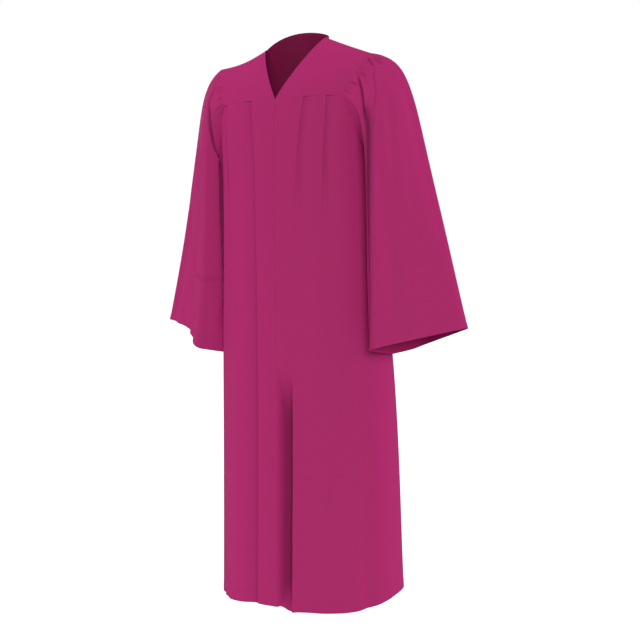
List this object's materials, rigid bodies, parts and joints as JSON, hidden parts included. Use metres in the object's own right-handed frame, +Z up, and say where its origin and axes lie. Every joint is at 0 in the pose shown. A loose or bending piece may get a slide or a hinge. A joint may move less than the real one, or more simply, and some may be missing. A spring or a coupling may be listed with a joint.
{
  "type": "graduation gown",
  "caption": "Full-length graduation gown of plain matte cloth in its hollow worn shape: V neck, zip at the centre front, yoke, pleated body and open bell sleeves.",
  "frame": {"origin": "between the two neck points, level with them, where the wearer's shoulders carry the gown", "axes": "+Z up, -Y towards the front with its zip, +X towards the wearer's left sleeve"},
  "size_m": [0.8434, 0.3966, 1.4242],
  "materials": {
    "gown_cloth": "matte woven polyester",
    "zip_tape": "matte tape"
  },
  "bodies": {
    "root": {"front_left": "gown_cloth", "front_right": "gown_cloth", "back": "gown_cloth", "yoke_front_left": "gown_cloth", "yoke_front_right": "gown_cloth", "yoke_back": "gown_cloth", "sleeve_left": "gown_cloth", "sleeve_right": "gown_cloth", "zip_tape": "zip_tape"}
  },
  "joints": []
}
